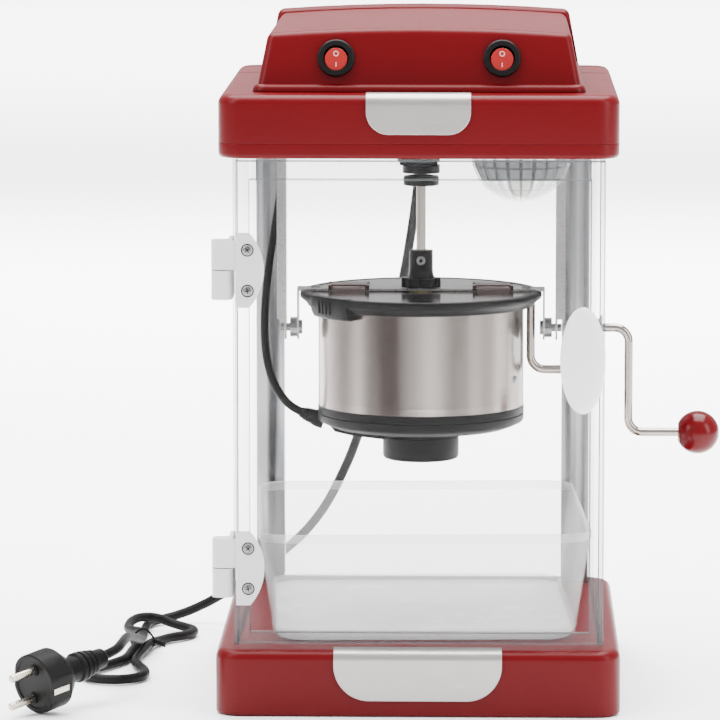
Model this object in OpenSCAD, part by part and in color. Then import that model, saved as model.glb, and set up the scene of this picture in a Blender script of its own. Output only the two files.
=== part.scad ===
// Counter-top popcorn maker: red base and canopy, clear cabinet with a hinged door, tilting kettle.
// Millimetres, +Z up. Origin under the middle of the base; the door faces -Y.

/* [Body] */
// Width of the canopy
body_w = 246; // [240:1:256]
// Depth of the base and the canopy
body_d = 280; // [276:1:292]
// Height of the base's top face
base_top = 41; // [38:1:44]
// Height of the canopy's lower edge
canopy_z = 346; // [340:1:352]
// Height of the canopy's top face
canopy_top = 385; // [380:1:392]
// Height of the hood above the canopy
hood_h = 36; // [30:1:42]

/* [Cabinet] */
// Width over the clear side panels
cabinet_w = 229; // [225:1:233]
// Thickness of the clear panels
panel_t = 3; // [2:0.5:4]
// Width of the door
door_w = 228; // [224:1:230]

/* [Kettle] */
// Height of the tilt axis
tilt_z = 226; // [222:1:230]
// Outer radius of the steel pot
pot_r = 65.7; // [60:0.1:68]
// Outer radius of the black rim
rim_r = 77.4; // [76:0.1:77.5]
// Diameter of the drive rod
rod_d = 6; // [5:0.5:7]
// Diameter of the crank's wire
crank_d = 5.5; // [5:0.5:6]
// Radius of the red ball on the crank
ball_r = 13.8; // [12:0.1:16]

/* [Switches] */
// Distance of each switch from the middle
switch_x = 51; // [45:1:56]
// Angle of a rocker from the middle to either end
rocker_tilt = 7; // [4:1:9]

/* [Leads] */
// Diameter of the mains lead
mains_d = 6.2; // [5.8:0.1:6.4]
// Diameter of the kettle's lead
kettle_lead_d = 5.4; // [5:0.1:6]

/* [Hidden] */

$fn = 64;
eps = 0.01;

base_w = body_w + 5;
corner_r = 16;
wall = 2.5;
front_y = -body_d / 2;
side_x = cabinet_w / 2;
side_in = side_x - panel_t;
cabinet_front = -119.5;
cabinet_back = 128;
cabinet_h = canopy_z - base_top;
ring_top = canopy_z + 9.2;
ceiling_t = 2;

door_y = -128;
door_t = 8;
door_z = base_top + 2.5;
door_h = canopy_z - 1.5 - door_z;
door_x = -113;
hinge_x = -121;
hinge_y = -124;
hinge_zs = [91, 276.5];
knuckle_h = 18;
knuckle_half = 6.4;
pin_r = 1.5;
running = 0.05;
leaf_screw_x = -105;
leaf_screw_dz = 12.6;
leaf_screw_r = 1.5;

rim_z = 250;
flap_z = 248.3;
flap_t = 1.5;
flap_r = 70.5;
flap_axis_y = 10.5;
flap_axis_z = 251.6;
clip_xs = [-46, 46];
barrel_w = 22;
bar_z = rim_z;
bar_t = 1.5;
ear_x = 78;
hanger_x = 86;
pot_floor = 183;
pot_bottom = 177;
dog_z = tilt_z + 99.4;

hood_w = 200;
hood_front = -114;
hood_back = 108;
hood_draft = 6;
switch_y = -110.3;
switch_z = 405.5;
switch_lean = 10.7;
rocker_axis = 3;
bezel_r = 11.5;
lamp_x = 63;
lamp_y = -60;

tray_z = base_top + 0.01;
tray_y = -3;
tray_turn = 2.5;
tray_top = 110;

crank_z = tilt_z - 27;
crank_low_z = tilt_z - 67.3;
crank_in_x = 70.3;
crank_drop_x = 99;
crank_out_x = 133;
bend_r = 9;
ball_x = 177.5;

exit_x = -3;
exit_z = 366;
relief_l = 26;

// The mains lead: out of the canopy's back, down behind the cabinet, and along the floor to the plug.
mains_route = [
    [-3, 141, 366], [-3, 152, 366], [-3, 166, 366], [-2.5, 180, 362], [-2, 191, 352],
    [-2, 197, 337], [-3, 199, 318], [-5.5, 198, 294], [-10, 195, 262], [-17, 191, 225],
    [-29, 187, 180], [-41.5, 184, 140], [-55, 182, 105], [-74, 181, 72], [-102, 181, 45],
    [-130, 181, 25], [-152, 182, 12], [-169, 180.5, 5.4], [-180, 174.5, 3.4], [-186, 164, 3.2],
    [-187.5, 149, 3.2], [-187.5, 130, 3.2], [-188, 110, 3.4], [-188, 90, 4.4], [-188, 74.5, 4.7],
    [-190.5, 55, 4.2], [-193, 35, 3.2],
    [-197.5, 21.5, 3.2], [-204, 9, 3.2], [-211, -3.5, 3.2], [-215.5, -17, 3.2], [-214, -27, 3.2],
    [-208, -35.6, 3.2], [-199, -39, 3.2], [-189, -38, 3.2], [-181.5, -32.4, 3.2],
    [-177.5, -23, 3.2], [-178, -8.5, 3.2], [-182, 5.5, 3.2], [-185.5, 19.5, 3.2], [-186, 34, 3.2],
    [-183.5, 54, 4.2], [-181, 73.5, 4.7], [-179, 86, 4.2], [-175, 98, 3.2], [-168.5, 108.5, 3.2],
    [-160, 117, 3.2], [-155, 126.5, 3.2], [-155, 137.5, 3.2], [-160.5, 147, 3.2], [-170, 152.3, 5],
    [-181, 152.3, 8.8], [-190, 147, 10], [-195.5, 137.5, 9.6], [-197.5, 125, 8.6],
    [-196.5, 111, 8.4], [-192, 97, 10], [-187, 86, 11.2], [-184.8, 76, 11.3],
    [-184.4, 66, 11.5], [-184.5, 50, 13],
    [-186, 25, 18], [-187.5, 0, 23.5], [-188, -25, 28], [-188.5, -51, 30.2], [-189, -65, 30.8],
    [-190.5, -78, 30.5], [-194.5, -86.6, 29.4], [-199.5, -92.6, 28]
];
// The kettle's lead: out of the ceiling and down to the boot on the kettle's side.
kettle_route = [
    [-90, 36, 341], [-90, 36, 330], [-91, 35, 312], [-95, 32, 286], [-99, 28, 258],
    [-101, 22, 232], [-100, 14, 208], [-95, 6, 190], [-86, 1, 177], [-76.2, 0, 170.6]
];

plug_at = [-229.5, -128, 20.8];
plug_turn = -43;
plug_dip = 9;
plug_roll = 12;
tie_at = [-184.6, 74];
plug_r = 19;

// ---- shapes that repeat ----

// Half of a slab's edge profile, from the middle line out to r.
module half_profile(r, h, top_r, bottom_r) {
    intersection() {
        union() {
            translate([0, bottom_r]) square([r, h - top_r - bottom_r]);
            translate([0, h - top_r - eps]) square([r - top_r, top_r + eps]);
            square([r - bottom_r, bottom_r + eps]);
            translate([r - top_r, h - top_r]) circle(r = top_r);
            translate([r - bottom_r, bottom_r]) circle(r = bottom_r);
        }
        square([r, h]);
    }
}

module bar_profile(w, h, top_r, bottom_r) {
    half_profile(w / 2, h, top_r, bottom_r);
    mirror([1, 0]) half_profile(w / 2, h, top_r, bottom_r);
}

// A slab with round corners in plan and rounded top and bottom edges.
module soft_slab(w, d, h, corner, top_r, bottom_r) {
    for (sx = [-1, 1], sy = [-1, 1])
        translate([sx * (w / 2 - corner), sy * (d / 2 - corner), 0])
            rotate_extrude() half_profile(corner, h, top_r, bottom_r);
    rotate([90, 0, 0])
        linear_extrude(height = d - 2 * corner, center = true) bar_profile(w, h, top_r, bottom_r);
    rotate([90, 0, 90])
        linear_extrude(height = w - 2 * corner, center = true) bar_profile(d, h, top_r, bottom_r);
}

module round_rect(w, d, r) {
    square([w - 2 * r, d], center = true);
    square([w, d - 2 * r], center = true);
    for (sx = [-1, 1], sy = [-1, 1])
        translate([sx * (w / 2 - r), sy * (d / 2 - r)]) circle(r = r);
}

// A badge outline standing on XZ: straight top, large round lower corners.
module badge_outline(w, z0, z1, r) {
    translate([-w / 2, z0 + r]) square([w, z1 - z0 - r]);
    translate([-w / 2 + r, z0]) square([w - 2 * r, r + eps]);
    for (s = [-1, 1]) translate([s * (w / 2 - r), z0 + r]) circle(r = r);
}

module box(x0, x1, y0, y1, z0, z1) {
    translate([x0, y0, z0]) cube([x1 - x0, y1 - y0, z1 - z0]);
}

function unit(v) = v / norm(v);

// A tube along a route, one ring of sides at each point.
module sweep_tube(route, d, sides) {
    n = len(route);
    dirs = [for (i = [0:n - 1])
        unit(route[min(i + 1, n - 1)] - route[max(i - 1, 0)])];
    rings = [for (i = [0:n - 1])
        let (
            t = dirs[i],
            u = unit(cross(abs(t[1]) > 0.9 ? [1, 0, 0] : [0, 1, 0], t)),
            v = cross(t, u)
        )
        [for (k = [0:sides - 1])
            let (a = 360 * k / sides)
            route[i] + d / 2 * (cos(a) * u + sin(a) * v)]];
    faces = [for (i = [0:n - 2], k = [0:sides - 1])
        [i * sides + k, (i + 1) * sides + k,
         (i + 1) * sides + (k + 1) % sides, i * sides + (k + 1) % sides]];
    polyhedron(
        points = [for (r = rings, p = r) p],
        faces = concat(
            faces,
            [[for (k = [0:sides - 1]) k]],
            [[for (k = [sides - 1:-1:0]) (n - 1) * sides + k]]
        )
    );
}

// A Catmull-Rom curve through the route's points.
function curve_at(a, b, c, d, t) =
    0.5 * (2 * b + (c - a) * t + (2 * a - 5 * b + 4 * c - d) * t * t
           + (3 * b - a - 3 * c + d) * t * t * t);
function smooth_route(p, steps) = concat(
    [for (i = [0:len(p) - 2], s = [0:steps - 1])
        curve_at(p[max(i - 1, 0)], p[i], p[i + 1], p[min(i + 2, len(p) - 1)], s / steps)],
    [p[len(p) - 1]]
);

// ---- base ----

module base_outer() {
    soft_slab(base_w, body_d, base_top, corner_r, 6, 2);
}

module base_housing() {
    color([0.5, 0.05, 0.07]) difference() {
        base_outer();
        translate([0, 0, -1])
            linear_extrude(height = base_top - wall + 1)
                round_rect(base_w - 2 * wall - 8, body_d - 2 * wall - 8, corner_r - 4);
    }
}

foot_x = 98;
foot_y = 112;
screw_x = 84;
screw_y = 118;

module base_plate() {
    color("dimgray") difference() {
        linear_extrude(height = 3) round_rect(base_w - 2 * wall - 8.4, body_d - 2 * wall - 8.4,
                                              corner_r - 4.2);
        for (sx = [-1, 1], sy = [-1, 1]) {
            translate([sx * foot_x, sy * foot_y, -1]) cylinder(r = 9, h = 2.5);
            translate([sx * screw_x, sy * screw_y, -1]) cylinder(r = 3.2, h = 2.4);
            translate([sx * screw_x, sy * screw_y, 1]) cylinder(r = 1.6, h = 4);
        }
    }
}

module base_screws() {
    color("silver") for (sx = [-1, 1], sy = [-1, 1])
        translate([sx * screw_x, sy * screw_y, 0.2]) {
            cylinder(r = 3.2, h = 1.2);
            cylinder(r = 1.6, h = 12);
        }
}

// Soft pads let into the plate, flush with it.
module feet() {
    color([0.08, 0.08, 0.08]) for (sx = [-1, 1], sy = [-1, 1])
        translate([sx * foot_x, sy * foot_y, 0]) cylinder(r = 9, h = 1.5);
}

module base_badge() {
    color("silver") difference() {
        intersection() {
            soft_slab(base_w + 2.4, body_d + 2.4, base_top + 1.2, corner_r + 1.2, 7.2, 2);
            translate([0, front_y + 9, 0]) rotate([90, 0, 0])
                linear_extrude(height = 12) badge_outline(104, 10, base_top + 4, 22);
        }
        base_outer();
    }
}

// ---- cabinet ----

module side_panel() {
    box(side_in, side_x, cabinet_front, cabinet_back, base_top, canopy_z);
}

module side_panel_left() {
    color([0.85, 0.9, 0.92, 0.4]) mirror([1, 0, 0]) side_panel();
}

module side_panel_right() {
    color([0.85, 0.9, 0.92, 0.4]) difference() {
        side_panel();
        translate([side_in - 1, 0, tilt_z]) rotate([0, 90, 0]) cylinder(r = 6, h = panel_t + 2);
    }
}

module rear_panel() {
    color([0.85, 0.9, 0.92, 0.4])
        box(-side_in, side_in, cabinet_back - panel_t, cabinet_back, base_top, canopy_z);
}

module rear_post() {
    difference() {
        box(92, 110, 111, 124.6, base_top, canopy_z);
        box(93.2, 108.8, 112.2, 123.4, base_top - 1, canopy_z + 1);
    }
}
module rear_posts() {
    color("darkgray") {
        rear_post();
        mirror([1, 0, 0]) rear_post();
    }
}

module ceiling_plate() {
    color("gainsboro") difference() {
        translate([0, 0, canopy_z]) linear_extrude(height = ceiling_t) round_rect(238, 272, 12);
        translate([0, 0, canopy_z - 1]) cylinder(r = 8, h = 5);
        translate([-90, 36, canopy_z - 1]) cylinder(r = 4, h = 5);
    }
}

module hanger() {
    difference() {
        union() {
            box(hanger_x, hanger_x + 1.2, -8, 8, tilt_z, canopy_z);
            translate([hanger_x, 0, tilt_z]) rotate([0, 90, 0]) cylinder(r = 8, h = 1.2);
            for (y = [-8, 6.8]) box(hanger_x, hanger_x + 6, y, y + 1.2, tilt_z + 6, canopy_z);
        }
        translate([hanger_x - 1, 0, tilt_z]) rotate([0, 90, 0]) cylinder(r = 2.5 + running, h = 4);
    }
}
module hangers() {
    color("lightgray") {
        hanger();
        mirror([1, 0, 0]) hanger();
    }
}

module crank_bush() {
    color("whitesmoke") translate([0, 0, tilt_z]) rotate([0, 90, 0]) difference() {
        union() {
            translate([0, 0, side_in - 1.5]) cylinder(r = 6, h = panel_t + 3);
            translate([0, 0, side_x]) cylinder(r = 8, h = 1.5);
        }
        translate([0, 0, side_in - 3]) cylinder(r = crank_d / 2 + running, h = 10);
    }
}

// ---- lamp ----

module lamp_holder() {
    color("whitesmoke") translate([lamp_x, lamp_y, canopy_z - 4]) difference() {
        cylinder(r = 33, h = 4);
        translate([0, 0, -1]) cylinder(r = 7, h = 6);
    }
}

module lamp_bulb() {
    color([1, 0.97, 0.88]) translate([lamp_x, lamp_y, canopy_z - 22]) {
        sphere(r = 8.5);
        cylinder(r = 6.9, h = 22);
    }
}

module lamp_dome() {
    color([0.95, 0.97, 1, 0.4]) translate([lamp_x, lamp_y, canopy_z - 4])
        rotate_extrude() difference() {
            intersection() {
                translate([0, 1.5]) circle(r = 31);
                translate([0, -35]) square([32, 35]);
            }
            translate([0, 1.5]) circle(r = 29);
        }
}

// ---- stirring drive ----

module motor_neck() {
    color([0.1, 0.1, 0.1]) difference() {
        box(-15, 12, -13, 13, dog_z + 7.5, canopy_z);
        translate([0, 0, dog_z]) cylinder(r = 3.2 + running, h = 40);
    }
}

module gearbox() {
    color("silver") difference() {
        box(-36, 20, -20, 20, canopy_z + ceiling_t, canopy_z + 16);
        translate([0, 0, canopy_z]) cylinder(r = 3.2 + running, h = 12);
    }
}

module stir_motor() {
    color("gray") translate([-18, 0, canopy_z + 16]) cylinder(r = 17, h = 26);
}

module motor_dog() {
    color([0.12, 0.12, 0.12]) {
        translate([0, 0, dog_z]) cylinder(r = 12, h = 5);
        translate([0, 0, dog_z]) cylinder(r = 3.2, h = canopy_z + 11 - dog_z);
    }
}

// ---- canopy and hood ----

module canopy_ring() {
    color([0.52, 0.05, 0.07]) translate([0, 0, canopy_z]) difference() {
        soft_slab(body_w, body_d, ring_top - canopy_z, corner_r, 0.4, 3);
        translate([0, 0, -1]) linear_extrude(height = 12) round_rect(239, 273, 12.5);
    }
}

module canopy_outer() {
    translate([0, 0, ring_top])
        soft_slab(body_w, body_d, canopy_top - ring_top, corner_r, 6, 0.4);
}

module canopy_housing() {
    color([0.52, 0.05, 0.07]) difference() {
        canopy_outer();
        translate([0, 0, ring_top - 1])
            linear_extrude(height = canopy_top - ring_top - wall + 1) round_rect(236, 270, 12);
        for (s = [-1, 1], y = [60, 118])
            translate([s * 111, y, canopy_top - 4]) rotate([0, 0, -s * 14])
                translate([-9, -1.1, 0]) cube([18, 2.2, 6]);
        translate([0, 0, canopy_top - 5]) linear_extrude(height = 8) round_rect(184, 204, 8);
        translate([exit_x, body_d / 2 - 8, exit_z]) rotate([-90, 0, 0]) cylinder(r = 5, h = 10);
    }
}

module canopy_badge() {
    color("silver") difference() {
        intersection() {
            translate([0, 0, ring_top])
                soft_slab(body_w + 2.4, body_d + 2.4, canopy_top - ring_top + 1.2,
                          corner_r + 1.2, 7.2, 0.4);
            translate([0, front_y + 10, 0]) rotate([90, 0, 0])
                linear_extrude(height = 14) badge_outline(64, 361, canopy_top + 4, 14);
        }
        canopy_outer();
    }
}

// The hood leans in on all sides and its roof is arched from left to right.
module hood_form(inset, top_drop, y0, y1) {
    r = 5;
    w = hood_w / 2 - inset - r;
    hull() {
        for (sx = [-1, 1], y = [y0 + r + inset, y1 - r - inset])
            translate([sx * w, y, canopy_top]) cylinder(r = r, h = 1, $fn = 32);
        for (sx = [-1, 1], y = [y0 + r + inset + hood_draft, y1 - r - inset])
            translate([sx * (w - hood_draft), y, canopy_top + hood_h - r - top_drop])
                sphere(r = r, $fn = 32);
        for (sx = [-0.75:0.25:0.75], y = [y0 + r + inset + hood_draft, y1 - r - inset])
            translate([sx * (w - hood_draft), y,
                       canopy_top + hood_h - r - top_drop + 3.2 * (1 - sx * sx)])
                sphere(r = r, $fn = 32);
    }
}

module hood() {
    color([0.55, 0.05, 0.08]) difference() {
        union() {
            hood_form(0, 0, hood_front, hood_back);
            translate([0, (hood_front + hood_back) / 2, canopy_top])
                soft_slab(hood_w + 5, hood_back - hood_front + 5, 5, 8, 4, 0.4);
        }
        translate([0, 0, -1]) hood_form(wall, wall, hood_front, hood_back);
        for (s = [-1, 1]) switch_frame(s)
            translate([0, -8, 0]) rotate([-90, 0, 0]) cylinder(r = 9.4, h = 24);
    }
}

module hood_rear_cover() {
    color([0.5, 0.05, 0.07]) difference() {
        translate([0, 0, 0]) hood_form(-2.2, -2.2, hood_back + 0.3 - 2.2, hood_back + 16);
        box(-130, 130, hood_back - 20, hood_back + 2.7, canopy_top - 2, canopy_top + 60);
        box(-130, 130, hood_back - 20, hood_back + 40, canopy_top - 4, canopy_top);
    }
}

// ---- switches ----

// A switch's own frame lies on the hood's leaning face, with -Y pointing out of it.
module switch_frame(s) {
    translate([s * switch_x, switch_y, switch_z]) rotate([-switch_lean, 0, 0]) children();
}

module switch_bezels() {
    color([0.07, 0.07, 0.07]) for (s = [-1, 1]) switch_frame(s)
        translate([0, -3.6, 0]) rotate([-90, 0, 0]) difference() {
            union() {
                rotate_extrude() {
                    translate([8.4, 1.4]) square([bezel_r - 8.4, 1.8]);
                    translate([8.4, 0]) square([1.7, 3]);
                    translate([bezel_r - 1.4, 1.4]) circle(r = 1.4);
                }
                cylinder(r = 9.2, h = 20);
            }
            translate([0, 0, -1]) cylinder(r = 7.8, h = 14);
        }
}

// A round rocker that turns about the switch's cross axis.
module rocker(s) {
    color([0.8, 0.1, 0.1]) switch_frame(s) translate([0, rocker_axis, 0])
        rotate([rocker_tilt, 0, 0]) intersection() {
            translate([-7.4, -6.2, -7.1]) cube([14.8, 8.6, 14.2]);
            rotate([-90, 0, 0]) translate([0, 0, -7]) cylinder(r = 6.9, h = 12);
        }
}
module rocker_left() { rocker(-1); }
module rocker_right() { rocker(1); }

// ---- door ----

module door_panel() {
    color([0.9, 0.94, 0.95, 0.35]) difference() {
        box(door_x, door_x + door_w, door_y, door_y + door_t, door_z, door_z + door_h);
        box(door_x + 9, door_x + door_w - 9, door_y + panel_t, door_y + door_t + 1,
            door_z + 6, door_z + door_h - 12);
        for (z = hinge_zs, s = [-1, 1])
            translate([leaf_screw_x, door_y - 1, z + s * leaf_screw_dz]) rotate([-90, 0, 0])
                cylinder(r = leaf_screw_r, h = 5);
        translate([101, door_y - 1, 222.7]) rotate([-90, 0, 0]) cylinder(r = 2, h = 5);
    }
}

module knuckle(h) {
    intersection() {
        translate([-knuckle_half, -knuckle_half, 0]) cube([2 * knuckle_half, 2 * knuckle_half, h]);
        cylinder(r = 7.2, h = h);
    }
}

module hinge_leaf(z) {
    difference() {
        union() {
            intersection() {
                translate([-129, door_y, z]) rotate([90, 0, 0]) cylinder(r = 34, h = 3);
                box(door_x + 0.5, -90, door_y - 3, door_y, z - 23, z + 23);
            }
            translate([hinge_x, hinge_y, z + 0.3]) knuckle(knuckle_h);
            box(hinge_x, door_x + 2, door_y - 2.4, door_y - eps, z + 0.3, z + 0.3 + knuckle_h);
        }
        translate([hinge_x, hinge_y, z - 1]) cylinder(r = pin_r + running, h = knuckle_h + 1 - 1);
        for (s = [-1, 1])
            translate([leaf_screw_x, door_y - 4, z + s * leaf_screw_dz]) rotate([-90, 0, 0])
                cylinder(r = leaf_screw_r, h = 5);
    }
}
module hinge_leaves() { color("whitesmoke") for (z = hinge_zs) hinge_leaf(z); }

module leaf_screws() {
    color("silver") for (z = hinge_zs, s = [-1, 1])
        translate([leaf_screw_x, door_y - 3, z + s * leaf_screw_dz]) rotate([-90, 0, 0]) {
            difference() {
                translate([0, 0, -1.2]) cylinder(r = 3, h = 1.2);
                translate([0, 0, -1.4]) for (a = [0, 90]) rotate([0, 0, a])
                    translate([-1.8, -0.4, 0]) cube([3.6, 0.8, 0.8]);
            }
            cylinder(r = leaf_screw_r, h = 5.5);
        }
}

module hinge_bracket(z) {
    difference() {
        union() {
            translate([hinge_x, hinge_y, z - 0.3 - knuckle_h]) knuckle(knuckle_h);
            box(hinge_x, -side_x - eps, hinge_y + 4, -116, z - 0.3 - knuckle_h, z - 0.3);
            box(-side_x - 3, -side_x - eps, -116.5, -96, z - 0.3 - knuckle_h, z + 18);
        }
        translate([hinge_x, hinge_y, z - 17]) cylinder(r = pin_r, h = 30);
    }
}
module hinge_brackets() { color("white") for (z = hinge_zs) hinge_bracket(z); }

module hinge_pins() {
    color("silver") for (z = hinge_zs)
        translate([hinge_x, hinge_y, z - 17]) cylinder(r = pin_r, h = 33);
}

module door_grip() {
    color("white") {
        translate([101, front_y - 2, 222.7]) scale([14 / 33, 6.5 / 33, 1]) sphere(r = 33);
        translate([101, front_y - 2, 222.7]) rotate([-90, 0, 0]) cylinder(r = 5, h = 14);
        translate([101, door_y, 222.7]) rotate([-90, 0, 0]) cylinder(r = 2, h = 3);
    }
}

// ---- kettle ----

module kettle_pot() {
    color("lightsteelblue") difference() {
        translate([0, 0, pot_bottom]) cylinder(r = pot_r, h = 246 - pot_bottom, $fn = 96);
        translate([0, 0, pot_floor + 1.2]) cylinder(r = pot_r - 1, h = 80, $fn = 96);
        translate([0, 0, pot_bottom - 1])
            cylinder(r = pot_r - 1, h = pot_floor - pot_bottom + 1, $fn = 96);
    }
}

module heater_plate() {
    color("gray") translate([0, 0, pot_floor - 5]) cylinder(r = 56, h = 5);
}

module kettle_rim() {
    color([0.12, 0.12, 0.12]) rotate_extrude($fn = 96) {
        translate([60, 246]) square([rim_r - 62.4, 2]);
        translate([71, 246]) square([rim_r - 73.5, 4]);
        translate([pot_r, 241]) square([7, 5.5]);
        translate([rim_r - 2.5, 246]) intersection() {
            translate([0, 0.5]) circle(r = 2.5);
            square([3, 5]);
        }
        translate([rim_r - 2.7, 246]) square([2.6, 1]);
        translate([rim_r - 6, 243]) intersection() {
            translate([0, 3.2]) circle(r = 5.4);
            square([6, 3.2]);
        }
    }
}

module rim_latch() {
    color([0.13, 0.13, 0.13]) rotate([0, 0, 205])
        rotate_extrude(angle = 28) translate([pot_r + 0.3, 236]) square([10, 5]);
}

cover_outline = [
    [0, 161.5], [30, 161.5], [33, 160.5], [46, 161.5], [57, 163], [61, 164.5],
    [65.6, 167], [66, 170], [66, 177], [0, 177]
];

module kettle_base_cover() {
    color([0.14, 0.14, 0.14]) {
        rotate_extrude($fn = 96) difference() {
            polygon(cover_outline);
            polygon([[-1, 164], [45, 164], [55, 166], [62, 169], [63, 178], [-1, 178]]);
        }
        // The channel that takes the lead from the boot to the socket.
        difference() {
            rotate([90, 0, 0]) linear_extrude(height = 22, center = true)
                polygon([[-58, 163.5], [-55, 159.5], [-44, 157], [-23, 154.5], [-23, 162.5],
                         [-58, 163.6]]);
            cylinder(r = 24.45, h = 400);
        }
    }
}

module connector_housing() {
    color([0.12, 0.12, 0.12]) rotate_extrude() {
        translate([0, 141.6]) square([22.4, 19.9]);
        translate([22, 143.6]) square([2.4, 17.9]);
        translate([22.4, 143.6]) circle(r = 2);
    }
}

module ear(s) {
    difference() {
        union() {
            box(ear_x, ear_x + 1.2, -8, 8, tilt_z, bar_z + bar_t);
            translate([ear_x, 0, tilt_z]) rotate([0, 90, 0]) cylinder(r = 8, h = 1.2);
        }
        translate([ear_x - 1, 0, tilt_z]) rotate([0, 90, 0]) cylinder(r = 2.5, h = 4);
    }
}

module cross_bar() {
    color("gainsboro") {
        difference() {
            box(-ear_x - 1.2, ear_x + 1.2, -8, 8, bar_z, bar_z + bar_t);
            translate([0, 0, bar_z - 1]) cylinder(r = 5, h = 4);
            for (s = [-1, 1]) translate([s * 67.5, 0, bar_z - 1]) cylinder(r = 1.6, h = 4);
        }
        ear(1);
        mirror([1, 0, 0]) ear(1);
    }
}

module cross_bar_screws() {
    color("silver") for (s = [-1, 1]) translate([s * 67.5, 0, bar_z - 1.8]) {
        cylinder(r = 1.6, h = 3.3);
        translate([0, 0, 1.8 + bar_t]) difference() {
            intersection() {
                cylinder(r = 3.2, h = 2);
                translate([0, 0, -1.6]) sphere(r = 3.6);
            }
            translate([-0.4, -4, 1]) cube([0.8, 8, 2]);
        }
    }
}

module shaft_bush() {
    color("goldenrod") translate([0, 0, bar_z - 4]) difference() {
        union() {
            cylinder(r = 5, h = 4 + bar_t);
            cylinder(r = 7, h = 4);
        }
        translate([0, 0, -1]) cylinder(r = rod_d / 2 + running, h = 9);
    }
}

module pivot_pins() {
    color("silver") for (s = [-1, 1]) scale([s, 1, 1]) translate([0, 0, tilt_z]) rotate([0, 90, 0]) {
        translate([0, 0, ear_x - 2]) cylinder(r = 2.5, h = 14);
        translate([0, 0, ear_x + 1.2]) cylinder(r = 6.4, h = 4.6, $fn = 12);
        translate([0, 0, ear_x - 2]) cylinder(r = 4.5, h = 2);
    }
}

module flap_clips() {
    color([0.2, 0.09, 0.08]) for (x = clip_xs) {
        box(x - barrel_w / 2, x + barrel_w / 2, -7.6, 7.6, bar_z + bar_t, bar_z + bar_t + 2.6);
        for (s = [-1, 1], e = [-1, 1]) {
            x0 = x + e * (barrel_w / 2 + 1.2);
            difference() {
                box(x0 - 0.8, x0 + 0.8, min(s * 6, s * 12), max(s * 6, s * 12),
                    bar_z + bar_t, bar_z + bar_t + 2.6);
                translate([x0 - 2, s * flap_axis_y, flap_axis_z]) rotate([0, 90, 0])
                    cylinder(r = 0.8, h = 4);
            }
        }
        for (e = [-1, 1])
            box(x + e * (barrel_w / 2 + 0.8) - 1.2, x + e * (barrel_w / 2 + 0.8) + 1.2, -6.5, 6.5,
                bar_z + bar_t, bar_z + bar_t + 2);
        for (s = [-1, 1])
            translate([x - barrel_w / 2 - 2, s * flap_axis_y, flap_axis_z]) rotate([0, 90, 0])
                cylinder(r = 0.8, h = barrel_w + 4);
    }
}

// The front flap; the rear one is its mirror image.
module flap() {
    difference() {
        union() {
            intersection() {
                translate([0, 0, flap_z]) cylinder(r = flap_r, h = flap_t, $fn = 96);
                box(-80, 80, -80, -9.7, flap_z, flap_z + flap_t);
            }
            for (x = clip_xs) {
                translate([x - barrel_w / 2 + 0.6, -flap_axis_y, flap_axis_z]) rotate([0, 90, 0])
                    cylinder(r = 1.8, h = barrel_w - 1.2);
                box(x - barrel_w / 2 + 0.6, x + barrel_w / 2 - 0.6, -12.3, -10.5,
                    flap_z + flap_t - eps, flap_axis_z);
            }
        }
        cylinder(r = 18, h = 400);
        for (x = clip_xs)
            translate([x - barrel_w, -flap_axis_y, flap_axis_z]) rotate([0, 90, 0])
                cylinder(r = 0.8 + running, h = 2 * barrel_w);
    }
}
module flap_front() { color("gainsboro") flap(); }
module flap_rear() { color("gainsboro") mirror([0, 1, 0]) flap(); }

module drive_shaft() {
    color("silver") {
        translate([0, 0, 190]) cylinder(r = rod_d / 2, h = 129);
        translate([0, 0, 317.2]) cylinder(r = 11.4, h = 6.4);
    }
}

module stir_hub() {
    color([0.14, 0.14, 0.14]) difference() {
        union() {
            translate([0, 0, 262]) cylinder(r = 7.6, h = 13.6);
            translate([0, 0, 252]) cylinder(r1 = 9.5, r2 = 7.6, h = 10.5);
            translate([0, 0, 252]) cylinder(r = 9.5, h = 4);
            for (a = [0:60:300]) rotate([0, 0, a])
                translate([8, 0, 252]) cylinder(r = 4.6, h = 6);
        }
        cylinder(r = rod_d / 2, h = 400);
        translate([0, 0, 269.5]) rotate([90, 0, 0]) cylinder(r = 2, h = 10);
    }
}

module set_screw() {
    color("silver") translate([0, -rod_d / 2, 269.5]) rotate([90, 0, 0]) {
        cylinder(r = 2, h = 5);
        translate([0, 0, 4.7]) cylinder(r = 2.9, h = 1.6);
    }
}

module stir_arm() {
    color("silver") difference() {
        union() {
            translate([0, 0, 185.6]) cylinder(r = 7, h = 8);
            for (a = [0, 180]) rotate([0, 0, a]) {
                translate([0, 0, 187.6]) rotate([0, 90, 0]) cylinder(r = 1.6, h = 56);
                translate([56, 0, 186]) cylinder(r = 1.6, h = 16);
            }
        }
        translate([0, 0, 190]) cylinder(r = rod_d / 2, h = 20);
    }
}

// ---- crank ----

module wire_x(x0, x1, z) {
    translate([x0, 0, z]) rotate([0, 90, 0]) cylinder(r = crank_d / 2, h = x1 - x0);
}
module wire_z(x, z0, z1) {
    translate([x, 0, z0]) cylinder(r = crank_d / 2, h = z1 - z0);
}
// A quarter bend about the point x, z, starting at angle a in the XZ plane.
module wire_bend(x, z, a) {
    translate([x, 0, z]) rotate([90, 0, 0]) rotate([0, 0, a])
        rotate_extrude(angle = 90) translate([bend_r, 0]) circle(r = crank_d / 2);
}

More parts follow.
